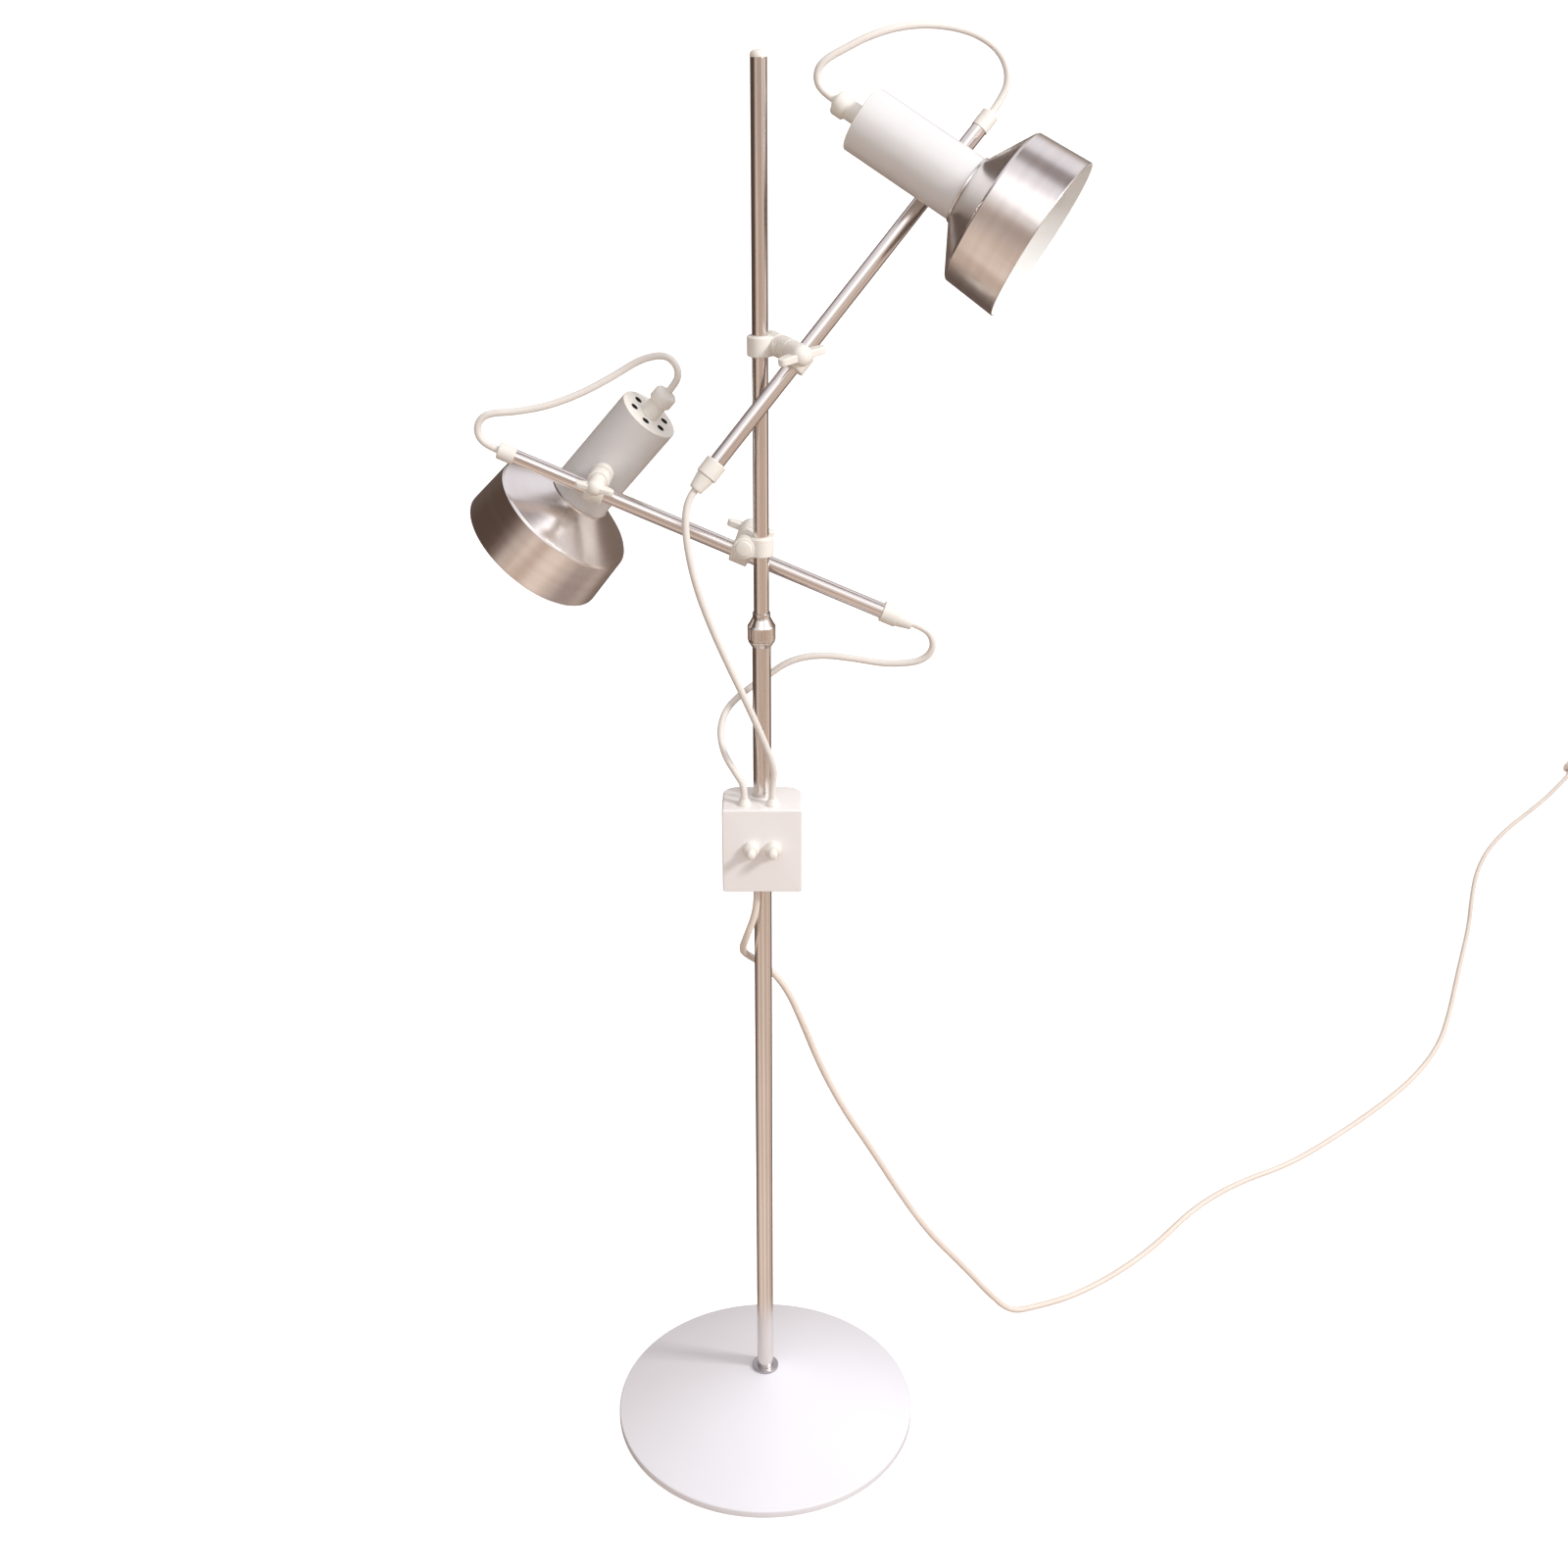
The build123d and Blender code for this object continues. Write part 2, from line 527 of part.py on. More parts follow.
def make_head(name, pose):
    plane = Plane(pose.pivot, x_dir=pose.head_normal, z_dir=pose.head_axis)
    inner_r = HOUSING_R - HOUSING_WALL
    toward_arm = Plane(pose.pivot, x_dir=pose.head_axis, z_dir=pose.head_normal * -1)
    with BuildPart() as housing:
        with BuildSketch(plane.offset(HOUSING_Z0)):
            Circle(HOUSING_R)
        extrude(amount=HOUSING_Z1 - HOUSING_Z0)
        with BuildSketch(plane.offset(HOUSING_Z0)):
            Circle(inner_r)
        extrude(amount=HOUSING_Z1 - HOUSING_Z0, mode=Mode.SUBTRACT)
        with BuildSketch(toward_arm.offset(HOUSING_R - 6)):
            Circle(6)
        extrude(amount=5)
        with BuildSketch(toward_arm.offset(HOUSING_R - 2.0)):
            Circle(8)
        extrude(amount=2.0 + HEAD_OFFSET - HOUSING_R - BOSS_W / 2 - GAP)
        with BuildSketch(toward_arm):
            Circle(BOLT_R + CLEAR)
        extrude(amount=HOUSING_R + 10, mode=Mode.SUBTRACT)
    save(housing, f"{name}_housing")

    cap_body = turned(plane, [
        (LEAD_R, CAP_Z), (HOUSING_R - 0.9, CAP_Z), (HOUSING_R, CAP_Z + 0.8),
        (HOUSING_R, HOUSING_Z0), (inner_r, HOUSING_Z0),
        (inner_r, HOUSING_Z0 + 5), (inner_r - 1.6, HOUSING_Z0 + 5), (inner_r - 1.6, CAP_Z + 3),
        (LEAD_R, CAP_Z + 3)])
    with BuildPart() as cap:
        add(cap_body.part)
        with BuildSketch(plane.offset(CAP_Z - 1)):
            with PolarLocations(VENT_CIRCLE_R, 6):
                Circle(VENT_R)
        extrude(amount=6, mode=Mode.SUBTRACT)
    save(cap, f"{name}_back_cap")

    behind = Plane(plane.from_local_coords((0, 0, CAP_Z)), x_dir=plane.x_dir, z_dir=plane.z_dir * -1)
    gland = turned(behind, [
        (LEAD_R, 0), (8, 0), (8, 13), (9.3, 13.6), (10, 14.6), (10, 22.5), (9, 24.2), (6, 25),
        (CORD_R + 1.8, GLAND_TIP), (LEAD_R, GLAND_TIP)])
    save(gland, f"{name}_cord_gland")

    holder = turned(plane, [
        (LEAD_R, CAP_Z + 3), (5, CAP_Z + 3), (5, -26), (19, -24), (19, 0), (17, 2), (17, 24),
        (13.6, 24), (13.6, 0), (LEAD_R, 0)])
    save(holder, f"{name}_lampholder")

    base_r, globe_r, globe_z = 13.0, 30.0, 72.0
    globe = [(globe_r * cos(a), globe_z + globe_r * sin(a))
             for a in (radians(d) for d in range(-36, 90, 14))]
    bulb = turned(plane, [
        (0, 1), (6, 1), (base_r, 4), (base_r, 29), (15, 33), (17.2, 42), *globe,
        (0, globe_z + globe_r)])
    save(bulb, f"{name}_bulb")

    wall = SHADE_WALL
    shoulder = [(60.5, 63.9), (62.6, 65.4), (63.9, 67.2)]
    outer = [(HOUSING_R + wall, SHADE_Z0), *shoulder, (SHOULDER_R, SHOULDER_Z + 2),
             (MOUTH_R, MOUTH_Z - 2), (MOUTH_R - 0.4, MOUTH_Z)]
    inner = [(MOUTH_R - 1.6, MOUTH_Z), (MOUTH_R - wall, MOUTH_Z - 2),
             (SHOULDER_R - wall, SHOULDER_Z + 2)]
    inner += [(r - 0.7, z + 1.1) for r, z in reversed(shoulder)]
    inner += [(HOUSING_R, SHADE_Z0 + 1.6)]
    shade = turned(plane, [(HOUSING_R, NECK_Z0), (HOUSING_R + wall, NECK_Z0), *outer, *inner])
    save(shade, f"{name}_shade")


# ---------------------------------------------------------------- cords
def cord_tube(name, points, radius):
    """A cord: straight runs joined by arcs as large as the runs allow."""
    corners = [Vector(p) for p in points]
    runs = [b - a for a, b in zip(corners, corners[1:])]
    turns = [radians(a.get_angle(b)) for a, b in zip(runs, runs[1:])]
    radii = [ARC_SHARE * min(a.length, b.length) / tan(turn / 2)
             for a, b, turn in zip(runs, runs[1:], turns)]
    with BuildPart() as cord:
        with BuildLine() as path:
            FilletPolyline(*corners, radius=radii)
        spine = path.wire()
        with BuildSketch(Plane(spine @ 0, z_dir=spine % 0)):
            Circle(radius)
        sweep(path=spine)
    length = spine.length
    share = cord.part.volume / (pi * radius ** 2 * length)
    print(f"{name}: length {length:.0f} mm, volume/section {share:.4f}, "
          f"smallest radius {min(radii):.0f} mm, sharpest turn {max(turns) * 180 / pi:.0f} deg")
    print("   runs", [round(run.length) for run in runs])
    print("   radii", [round(r) for r in radii])
    save(cord, name)


# control points between the straight stretches at each cord's two ends
FEED_ROUTES = {
    "upper": [(11, -24, 737), (1, -32, 768), (-13, -40, 806), (-29, -46, 845), (-42, -52, 880),
              (-52, -55, 912), (-58, -56, 942), (-60, -54, 966)],
    "lower": [(-22, -18, 728), (-33, -11, 744), (-37, 0, 762), (-31, 11, 778), (-16, 19, 790),
              (4, 23, 803), (24, 23, 818), (50, 21, 824), (80, 19, 821), (104, 16, 817.5),
              (122, 13.5, 818.6), (135.7, 11.5, 821.6), (144, 10.2, 828.5), (147, 9.3, 838),
              (143, 8.7, 848.3)],
}

LOOP_ROUTES = {
    "upper": [(196.5, 72, 1286), (189, 70, 1307), (168, 65, 1321.5), (139, 58.5, 1328),
              (110, 52, 1327.5), (84, 46.5, 1320.5), (64.5, 43, 1311), (51.5, 41.2, 1304.3),
              (44.7, 40.8, 1297), (44.4, 41, 1287)],
    "lower": [(-234.1, 40.8, 1008.3), (-235.9, 41, 1017.4), (-231.6, 41.4, 1025.6),
              (-222.9, 42, 1029.4), (-204, 43, 1030), (-177, 46, 1034), (-149, 50, 1043.5),
              (-122, 54.5, 1057), (-101, 56, 1069.8), (-85.2, 54.5, 1074.4),
              (-76.4, 53, 1073.4), (-69.8, 51.5, 1067.6), (-67.8, 50.7, 1059.2)],
}

MAINS_ROUTE = [
    (-8, -18, 586), (-15, -17, 566), (-19.5, -4, 546), (-15, 13.5, 530), (2, 20, 516),
    (22, 24, 488), (38, 28, 444), (54, 36, 394), (77, 46, 338), (107, 61, 278), (136, 76, 216),
    (170, 93, 150), (212, 116, 86), (242, 131, 38), (268, 142, 3.5), (300, 152, 3.5),
    (340, 168, 3.5), (392, 204, 3.5), (446, 254, 3.5), (504, 324, 3.5), (566, 374, 3.5),
    (640, 412, 3.5), (712, 470, 3.5), (786, 536, 3.5), (852, 604, 3.5), (908, 682, 3.5),
    (948, 766, 3.5), (982, 846, 3.5), (1016, 924, 3.5), (1052, 1006, 3.5), (1084, 1092, 3.5),
    (1118, 1176, 3.5), (1162, 1258, 3.5), (1220, 1336, 3.5), (1284, 1406, 3.5),
    (1346, 1476, 3.5), (1402, 1550, 3.5)]
FEED_START = 12.0           # straight stretch out of the box
ARM_END = 9.0               # straight stretch at either end of an arm
HEAD_END = 9.0              # straight stretch behind a head


def make_cords(poses):
    for name, pose in poses.items():
        grommet_top = Vector(*FEED_EXITS[name], BOX_Z1 + GROMMET_H)
        arm_tail = pose.arm_ring - pose.arm_dir * pose.tail
        cord_tube(f"{name}_feed_cord", [
            grommet_top, grommet_top + Vector(0, 0, FEED_START), *FEED_ROUTES[name],
            arm_tail - pose.arm_dir * ARM_END, arm_tail], CORD_R)
        arm_tip = pose.arm_ring + pose.arm_dir * pose.tip
        gland_tip = pose.pivot + pose.head_axis * (CAP_Z - GLAND_TIP)
        cord_tube(f"{name}_loop_cord", [
            arm_tip, arm_tip + pose.arm_dir * ARM_END, *LOOP_ROUTES[name],
            gland_tip - pose.head_axis * HEAD_END, gland_tip], CORD_R)
    below_box = Vector(*MAINS_EXIT, BOX_Z0 - GROMMET_H)
    cord_tube("mains_cord", [below_box, below_box - Vector(0, 0, FEED_START), *MAINS_ROUTE],
              MAINS_R)


def make_plug():
    """Two-pin plug with its tapered strain relief, lying where the mains cord ends."""
    end = Vector(*MAINS_ROUTE[-1])
    along = (end - Vector(*MAINS_ROUTE[-2])).normalized()
    plane = Plane(end, x_dir=(0, 0, 1), z_dir=along)
    body_at, body_len, pin_len = 24.0, 34.0, 19.0
    lift = 8.0                  # the body's centre line above the cord's
    with BuildPart() as plug:
        with BuildSketch(plane):
            Circle(MAINS_R + 0.2)
        with BuildSketch(plane.offset(body_at)):
            with Locations((lift - 4, 0)):
                Circle(6)
        loft()
        with BuildSketch(plane.offset(body_at)):
            with Locations((lift - 4, 0)):
                RectangleRounded(14, 30, 5)
        extrude(amount=body_len)
        with BuildSketch(plane.offset(body_at + body_len)):
            with Locations((lift - 4, -9.5), (lift - 4, 9.5)):
                Circle(2.0)
        extrude(amount=pin_len)
    save(plug, "mains_plug")


def main():
    poses = {name: LampPose(**sizes) for name, sizes in LAMPS.items()}
    make_base()
    make_pole()
    make_switch_box()
    for name, pose in poses.items():
        make_clamps(name, pose)
        make_arm(name, pose)
        make_head(name, pose)
    make_cords(poses)
    make_plug()


main()
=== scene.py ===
"""Looks of the adjustable arm floor lamp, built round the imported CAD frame."""
import json
import math

import bmesh
import bpy
from mathutils import Matrix, Vector


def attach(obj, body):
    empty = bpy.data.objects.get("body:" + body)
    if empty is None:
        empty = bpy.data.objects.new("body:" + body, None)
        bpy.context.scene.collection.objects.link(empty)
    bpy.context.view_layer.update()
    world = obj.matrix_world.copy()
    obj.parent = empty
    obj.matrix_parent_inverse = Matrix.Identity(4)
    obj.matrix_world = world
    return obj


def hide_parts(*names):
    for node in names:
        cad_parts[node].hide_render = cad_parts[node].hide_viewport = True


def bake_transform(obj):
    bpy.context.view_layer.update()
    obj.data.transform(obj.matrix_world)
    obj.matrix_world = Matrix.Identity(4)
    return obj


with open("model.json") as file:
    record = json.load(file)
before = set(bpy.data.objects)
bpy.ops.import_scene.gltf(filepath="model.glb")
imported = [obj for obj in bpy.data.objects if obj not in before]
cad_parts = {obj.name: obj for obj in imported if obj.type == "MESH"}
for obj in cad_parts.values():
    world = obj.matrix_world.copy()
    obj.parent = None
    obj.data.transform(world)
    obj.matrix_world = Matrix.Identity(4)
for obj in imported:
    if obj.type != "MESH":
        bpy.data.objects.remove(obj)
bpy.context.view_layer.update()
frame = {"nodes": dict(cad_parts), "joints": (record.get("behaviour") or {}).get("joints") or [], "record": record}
joints = {j["name"]: j for j in frame["joints"]}
MM = 0.001

HEAD_TILT = {"upper": 86.7, "lower": 71.7}      # degrees from the arm to the head axis
CAP_BACK = -56.0 * MM       # outer face of the back cap, along the head axis from the tilt pivot
INSIDE_R = 25.6 * MM        # between the inner and outer radius of the lamp housing
SKIN = 0.3 * MM             # faces this close to the cap's outer face keep its plastic
CORD_R = 3.0 * MM
MAINS_R = 3.25 * MM
EDGE_WIDTH = 0.35 * MM      # broken edges of the CAD nodes
WELD_DISTANCE = 0.01 * MM
CORD_SIDES = 24


# ---------------------------------------------------------------- camera and light
def make_camera():
    data = bpy.data.cameras.new("camera")
    data.sensor_width = 36.0
    data.lens = 44.06
    camera = bpy.data.objects.new("camera", data)
    camera.location = (0.019, -1.526, 1.422)
    camera.rotation_euler = (math.radians(65.0), 0, 0)
    bpy.context.collection.objects.link(camera)
    bpy.context.scene.camera = camera


def area_light(name, place, target, size, power, colour=(1, 1, 1)):
    data = bpy.data.lights.new(name, "AREA")
    data.shape = "RECTANGLE"
    data.size, data.size_y = size
    data.energy = power
    data.color = colour
    light = bpy.data.objects.new(name, data)
    light.location = place
    aim = Vector(target) - Vector(place)
    light.rotation_euler = aim.to_track_quat("-Z", "Y").to_euler()
    bpy.context.collection.objects.link(light)


def make_studio():
    bpy.context.scene.view_settings.view_transform = "Standard"
    bpy.ops.mesh.primitive_plane_add(size=60, location=(0, 0, 0))
    floor = bpy.context.object
    floor.name = "floor"
    floor.data.materials.append(paper_floor())
    floor.visible_glossy = False
    make_room()
    area_light("key", (2.1, -1.3, 2.5), (0, 0, 0.7), (0.45, 0.45), 50, (1.0, 0.985, 0.97))


def paper_floor():
    """White paper to the camera; what it throws back on the lamp is dimmer and warm."""
    material = plain_material("floor_white", (0.93, 0.93, 0.93), 0.9)
    nodes, links = material.node_tree.nodes, material.node_tree.links
    shader = nodes["Principled BSDF"]
    shader.inputs["Emission Color"].default_value = (1, 1, 1, 1)
    shader.inputs["Emission Strength"].default_value = 0.62
    bounce = nodes.new("ShaderNodeBsdfDiffuse")
    bounce.inputs["Color"].default_value = (0.46, 0.37, 0.30, 1)
    rays = nodes.new("ShaderNodeLightPath")
    both = nodes.new("ShaderNodeMixShader")
    links.new(rays.outputs["Is Camera Ray"], both.inputs["Fac"])
    links.new(bounce.outputs[0], both.inputs[1])
    links.new(shader.outputs[0], both.inputs[2])
    links.new(both.outputs[0], nodes["Material Output"].inputs["Surface"])
    return material


def make_room():
    """Soft light from all round, dimmer and warmer from one side. Polished metal shows a room
    of warm tones instead, and the camera sees white past the floor."""
    world = bpy.data.worlds.new("world")
    bpy.context.scene.world = world
    world.use_nodes = True
    nodes, links = world.node_tree.nodes, world.node_tree.links
    nodes.clear()
    way = nodes.new("ShaderNodeTexCoord").outputs["Generated"]

    def facing(direction, low, high):
        """1 where the ray goes along the direction, falling to 0 where its cosine is low."""
        dot = nodes.new("ShaderNodeVectorMath")
        dot.operation = "DOT_PRODUCT"
        dot.inputs[1].default_value = Vector(direction).normalized()
        links.new(way, dot.inputs[0])
        ramp = nodes.new("ShaderNodeMapRange")
        ramp.interpolation_type = "SMOOTHSTEP"
        ramp.inputs["From Min"].default_value = low
        ramp.inputs["From Max"].default_value = high
        links.new(dot.outputs["Value"], ramp.inputs["Value"])
        return ramp.outputs["Result"]

    def mix(factor, first, second):
        node = nodes.new("ShaderNodeMix")
        node.data_type = "RGBA"
        links.new(factor, node.inputs["Factor"])
        for socket, value in zip((node.inputs[6], node.inputs[7]), (first, second)):
            if isinstance(value, tuple):
                socket.default_value = (*value, 1)
            else:
                links.new(value, socket)
        return node.outputs[2]

    patches = nodes.new("ShaderNodeTexNoise")
    patches.inputs["Scale"].default_value = 1.7
    patches.inputs["Detail"].default_value = 1.0
    links.new(way, patches.inputs["Vector"])
    patch = nodes.new("ShaderNodeMapRange")
    patch.interpolation_type = "SMOOTHSTEP"
    patch.inputs["From Min"].default_value = 0.42
    patch.inputs["From Max"].default_value = 0.58
    links.new(patches.outputs["Fac"], patch.inputs["Value"])
    walls = mix(patch.outputs["Result"], (0.40, 0.30, 0.25), (0.88, 0.78, 0.72))
    ground = mix(patch.outputs["Result"], (0.62, 0.47, 0.38), (0.96, 0.80, 0.70))
    room = mix(facing((0, 0, -1), 0.02, 0.22), walls, ground)
    room = mix(facing((0, 0, -1), 0.72, 0.94), room, (0.36, 0.28, 0.26))
    room = mix(facing((0, 0, 1), 0.35, 0.62), room, (0.96, 0.93, 0.98))
    room = mix(facing((-0.45, 0.85, -0.2), 0.45, 0.88), room, (0.13, 0.095, 0.08))
    room = mix(facing((0.55, 0.80, -0.25), 0.62, 0.93), room, (0.22, 0.16, 0.13))
    room = mix(facing((-0.92, 0.05, 0.12), 0.66, 0.90), room, (0.10, 0.065, 0.05))
    room = mix(facing((0.42, 0.05, 0.90), 0.950, 0.985), room, (0.26, 0.21, 0.20))
    room = mix(facing((0.72, -0.14, 0.68), 0.950, 0.985), room, (2.2, 2.15, 2.2))
    room = mix(facing((0.0, -0.72, 0.69), 0.92, 0.98), room, (1.6, 1.56, 1.55))
    rays = nodes.new("ShaderNodeLightPath")
    sky = mix(facing((-0.85, 0.45, 0.1), -0.1, 0.75), (0.92, 0.92, 0.94), (0.46, 0.38, 0.32))
    plain = nodes.new("ShaderNodeBackground")
    links.new(sky, plain.inputs["Color"])
    seen_in_metal = nodes.new("ShaderNodeBackground")
    links.new(room, seen_in_metal.inputs["Color"])
    both = nodes.new("ShaderNodeMixShader")
    links.new(rays.outputs["Is Glossy Ray"], both.inputs["Fac"])
    links.new(plain.outputs[0], both.inputs[1])
    links.new(seen_in_metal.outputs[0], both.inputs[2])
    paper = nodes.new("ShaderNodeBackground")
    paper.inputs["Color"].default_value = (1, 1, 1, 1)
    backdrop = nodes.new("ShaderNodeMixShader")
    links.new(rays.outputs["Is Camera Ray"], backdrop.inputs["Fac"])
    links.new(both.outputs[0], backdrop.inputs[1])
    links.new(paper.outputs[0], backdrop.inputs[2])
    output = nodes.new("ShaderNodeOutputWorld")
    links.new(backdrop.outputs[0], output.inputs["Surface"])


# ---------------------------------------------------------------- materials
def plain_material(name, colour, roughness):
    material = bpy.data.materials.new(name)
    material.use_nodes = True
    shader = material.node_tree.nodes["Principled BSDF"]
    shader.inputs["Base Color"].default_value = (*colour, 1)
    shader.inputs["Roughness"].default_value = roughness
    return material


class Material:
    """Small builder round one Principled shader."""

    def __init__(self, name, **inputs):
        self.material = bpy.data.materials.new(name)
        self.material.use_nodes = True
        self.nodes = self.material.node_tree.nodes
        self.links = self.material.node_tree.links
        self.shader = self.nodes["Principled BSDF"]
        for key, value in inputs.items():
            self.shader.inputs[key.replace("_", " ")].default_value = value
        self.coordinates = self.nodes.new("ShaderNodeTexCoord").outputs["Object"]

    def noise(self, scale, detail=3.0, rough=0.55, vector=None):
        node = self.nodes.new("ShaderNodeTexNoise")
        node.inputs["Scale"].default_value = scale
        node.inputs["Detail"].default_value = detail
        node.inputs["Roughness"].default_value = rough
        self.links.new(vector or self.coordinates, node.inputs["Vector"])
        return node.outputs["Fac"]

    def ramp(self, value, stops):
        node = self.nodes.new("ShaderNodeValToRGB")
        elements = node.color_ramp.elements
        elements[0].position, elements[0].color = stops[0][0], (*stops[0][1], 1)
        elements[1].position, elements[1].color = stops[-1][0], (*stops[-1][1], 1)
        for position, colour in stops[1:-1]:
            elements.new(position).color = (*colour, 1)
        self.links.new(value, node.inputs["Fac"])
        return node.outputs["Color"]

    def span(self, value, low, high):
        node = self.nodes.new("ShaderNodeMapRange")
        node.inputs["To Min"].default_value = low
        node.inputs["To Max"].default_value = high
        self.links.new(value, node.inputs["Value"])
        return node.outputs["Result"]

    def stretched(self, axis, along, across):
        """Coordinates scaled by `along` on the axis and by `across` on the other two."""
        turn = Vector(axis).rotation_difference(Vector((0, 0, 1))).to_euler()
        node = self.nodes.new("ShaderNodeMapping")
        node.vector_type = "POINT"
        node.inputs["Rotation"].default_value = turn
        self.links.new(self.coordinates, node.inputs["Vector"])
        scale = self.nodes.new("ShaderNodeMapping")
        scale.inputs["Scale"].default_value = (across, across, along)
        self.links.new(node.outputs["Vector"], scale.inputs["Vector"])
        return scale.outputs["Vector"]

    def along_axis(self, axis):
        """Distance along the axis only, so that a texture makes rings round it."""
        node = self.nodes.new("ShaderNodeVectorMath")
        node.operation = "DOT_PRODUCT"
        node.inputs[1].default_value = axis
        self.links.new(self.coordinates, node.inputs[0])
        return node.outputs["Value"]

    def rings(self, axis, scale, detail=4.0):
        node = self.nodes.new("ShaderNodeTexNoise")
        node.noise_dimensions = "1D"
        node.inputs["Scale"].default_value = scale
        node.inputs["Detail"].default_value = detail
        self.links.new(self.along_axis(axis), node.inputs["W"])
        return node.outputs["Fac"]

    def bump(self, value, strength, distance):
        node = self.nodes.new("ShaderNodeBump")
        node.inputs["Strength"].default_value = strength
        node.inputs["Distance"].default_value = distance
        self.links.new(value, node.inputs["Height"])
        previous = self.shader.inputs["Normal"]
        if previous.is_linked:
            self.links.new(previous.links[0].from_socket, node.inputs["Normal"])
        self.links.new(node.outputs["Normal"], self.shader.inputs["Normal"])

    def feed(self, key, socket):
        self.links.new(socket, self.shader.inputs[key])


def lacquer(name, light, dark, roughness):
    """Sprayed lacquer: faint orange peel, slow tone drift and a few dull patches."""
    m = Material(name, Coat_Weight=0.35, Coat_Roughness=0.18)
    m.feed("Base Color", m.ramp(m.noise(7.0, 4.0), [(0.3, dark), (0.7, light)]))
    m.feed("Roughness", m.span(m.noise(26.0, 5.0), roughness - 0.06, roughness + 0.08))
    m.bump(m.noise(900.0, 2.0), 0.10, 0.0002)
    return m.material


def plastic(name, light, dark, roughness=0.42):
    """Moulded plastic with fine spark texture and slight ageing."""
    m = Material(name)
    m.shader.inputs["Subsurface Weight"].default_value = 0.08
    m.shader.inputs["Subsurface Radius"].default_value = (0.004, 0.003, 0.002)
    m.feed("Base Color", m.ramp(m.noise(35.0, 4.0), [(0.3, dark), (0.7, light)]))
    m.feed("Roughness", m.span(m.noise(120.0, 3.0), roughness - 0.07, roughness + 0.1))
    m.bump(m.noise(2600.0, 2.0), 0.12, 0.0001)
    return m.material


def drawn_tube(name, axis, light, dark, roughness):
    """Nickel-plated drawn tube: fine lines along the tube and warm tone drift."""
    m = Material(name, Metallic=1.0)
    lines = m.noise(1.0, 4.0, 0.6, m.stretched(axis, 6.0, 1500.0))
    m.feed("Base Color", m.ramp(m.noise(9.0, 3.0, 0.5, m.stretched(axis, 1.0, 3.0)),
                                [(0.3, dark), (0.7, light)]))
    m.feed("Roughness", m.span(lines, roughness - 0.03, roughness + 0.05))
    m.bump(lines, 0.02, 0.0001)
    return m.material


def spun_metal(name):
    """Spun and brushed aluminium round its object's own Z axis."""
    m = Material(name, Metallic=1.0, Anisotropic=0.65)
    round_axis = m.nodes.new("ShaderNodeTangent")
    round_axis.direction_type = "RADIAL"
    round_axis.axis = "Z"
    m.links.new(round_axis.outputs["Tangent"], m.shader.inputs["Tangent"])
    fine = m.rings((0, 0, 1), 1400.0, 5.0)
    wide = m.rings((0, 0, 1), 90.0, 2.0)
    m.feed("Base Color", m.ramp(wide, [(0.3, (0.76, 0.72, 0.70)), (0.7, (0.81, 0.78, 0.76))]))
    m.feed("Roughness", m.span(fine, 0.14, 0.28))
    m.bump(fine, 0.10, 0.00015)
    return m.material


def metal(name, colour, roughness):
    """Plated turned metal with fine scratches."""
    m = Material(name, Metallic=1.0)
    dark = tuple(c * 0.85 for c in colour)
    m.feed("Base Color", m.ramp(m.noise(60.0, 3.0), [(0.3, dark), (0.7, colour)]))
    m.feed("Roughness", m.span(m.noise(400.0, 4.0), roughness - 0.06, roughness + 0.1))
    m.bump(m.noise(1500.0, 3.0), 0.08, 0.0001)
    return m.material


def pvc(name, light, dark):
    """Cord jacket: matt, with a slow tone drift and slight unevenness."""
    m = Material(name)
    m.shader.inputs["Subsurface Weight"].default_value = 0.06
    m.shader.inputs["Subsurface Radius"].default_value = (0.003, 0.002, 0.002)
    m.feed("Base Color", m.ramp(m.noise(14.0, 4.0), [(0.3, dark), (0.7, light)]))
    m.feed("Roughness", m.span(m.noise(90.0, 3.0), 0.42, 0.6))
    m.bump(m.noise(700.0, 3.0), 0.10, 0.0002)
    return m.material


def iron(name):
    m = Material(name, Metallic=0.7)
    m.feed("Base Color", m.ramp(m.noise(60.0, 6.0), [(0.3, (0.07, 0.07, 0.07)),
                                                      (0.7, (0.16, 0.15, 0.15))]))
    m.feed("Roughness", m.span(m.noise(80.0, 5.0), 0.5, 0.8))
    m.bump(m.noise(300.0, 6.0), 0.5, 0.0006)
    return m.material


def felt(name):
    m = Material(name, Roughness=0.95, Sheen_Weight=0.4)
    m.feed("Base Color", m.ramp(m.noise(500.0, 6.0), [(0.3, (0.03, 0.03, 0.03)),
                                                       (0.7, (0.09, 0.09, 0.09))]))
    m.bump(m.noise(2200.0, 5.0), 0.6, 0.0005)
    return m.material


def opal_glass(name):
    m = Material(name, Roughness=0.18, Coat_Weight=0.4, Coat_Roughness=0.08)
    m.shader.inputs["Subsurface Weight"].default_value = 0.3
    m.shader.inputs["Subsurface Radius"].default_value = (0.01, 0.01, 0.01)
    m.feed("Base Color", m.ramp(m.noise(20.0, 2.0), [(0.3, (0.86, 0.85, 0.82)),
                                                      (0.7, (0.93, 0.92, 0.90))]))
    return m.material


# ---------------------------------------------------------------- mesh helpers
def add_object(name, mesh, material, body, slot, *replaced, place=None):
    piece = bpy.data.objects.new(name, mesh)
    if place:
        piece.matrix_world = place
    bpy.context.collection.objects.link(piece)
    for m in material if isinstance(material, (list, tuple)) else [material]:
        mesh.materials.append(m)
    if body:
        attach(piece, body)
    if replaced:
        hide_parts(*replaced)
    return piece


def smooth(mesh, degrees=35.0):
    for polygon in mesh.polygons:
        polygon.use_smooth = True
    mesh.set_sharp_from_angle(angle=math.radians(degrees))


